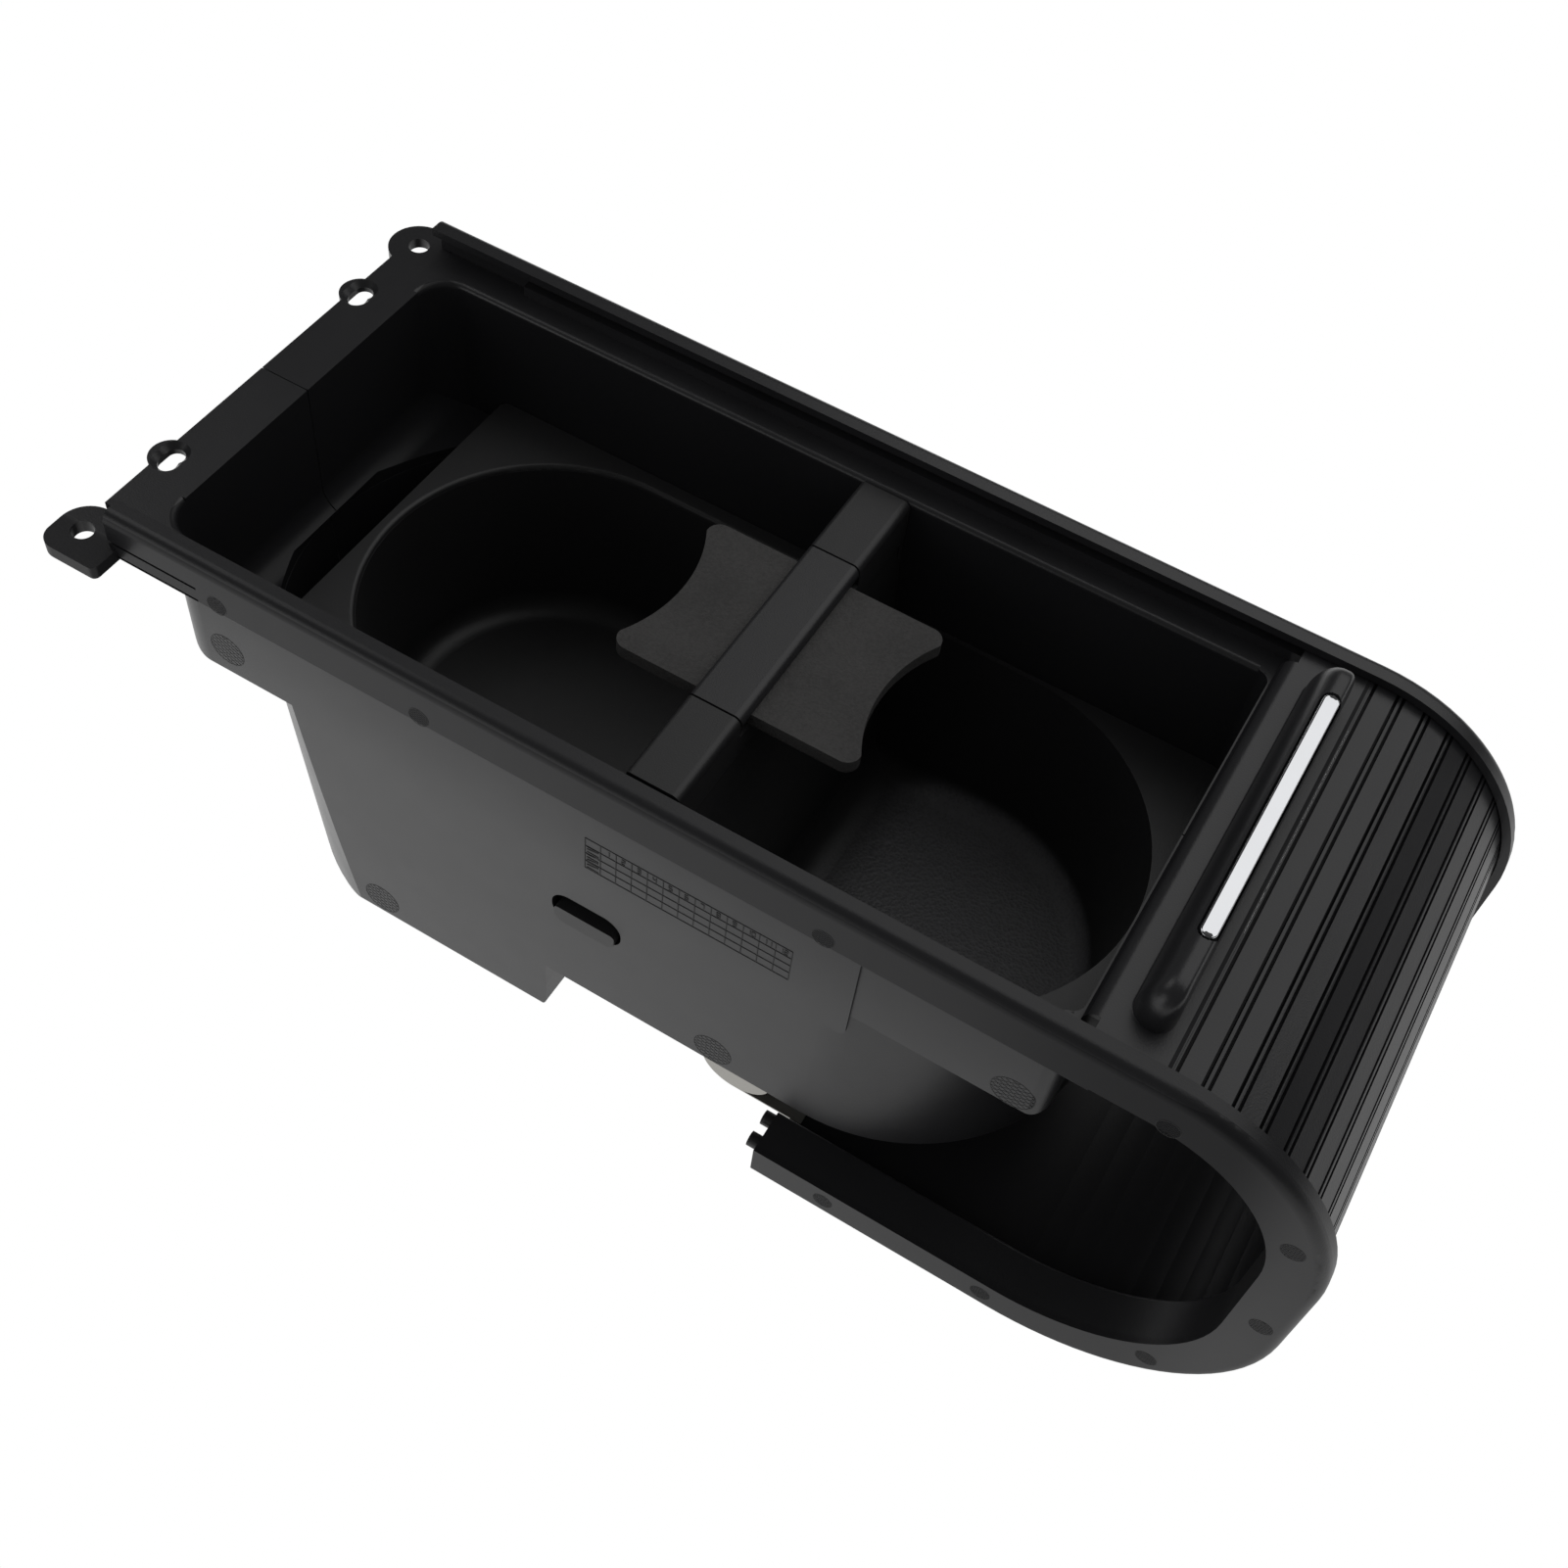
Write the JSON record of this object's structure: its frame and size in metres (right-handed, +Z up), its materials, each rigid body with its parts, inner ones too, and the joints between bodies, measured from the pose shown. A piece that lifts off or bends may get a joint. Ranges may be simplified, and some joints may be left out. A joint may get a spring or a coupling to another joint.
{
  "type": "car cup holder",
  "caption": "Car console cup holder, one long tray with two cup wells and a removable divider, closed by a slatted blind that runs round a looped track",
  "frame": {"origin": "midway between the centres of the two screw slots, on the top face of the flange", "axes": "+X runs along the rails from the flange to the bend of the blind, +Y across to the far rail, +Z up out of the flange"},
  "size_m": [0.3033, 0.13, 0.135],
  "materials": {
    "shell_plastic": "satin moulded, charcoal",
    "insert_plastic": "fine grained, charcoal",
    "pad_foam": "matte foam rubber, warm grey",
    "blind_plastic": "satin moulded, charcoal",
    "bright_trim": "polished",
    "spring_steel": "drawn strip, dull",
    "pin_steel": "turned, plain"
  },
  "bodies": {
    "root": {"side_near": "shell_plastic", "side_far": "shell_plastic", "cup_insert": "insert_plastic", "divider_cap": "shell_plastic", "grip_pad": "pad_foam", "slat_blind": "blind_plastic", "coil_spring": "spring_steel", "spring_pin": "pin_steel", "track_studs": "shell_plastic", "base_screws": "pin_steel"},
    "lid": {"lid_leaf": "blind_plastic", "chrome_strip": "bright_trim"}
  },
  "joints": [
    {"name": "lid_slide", "type": "slide", "parent": "root", "child": "lid", "axis": [-1, 0, 0], "range_m": [0, 0.218], "deforming": ["slat_blind"]}
  ]
}
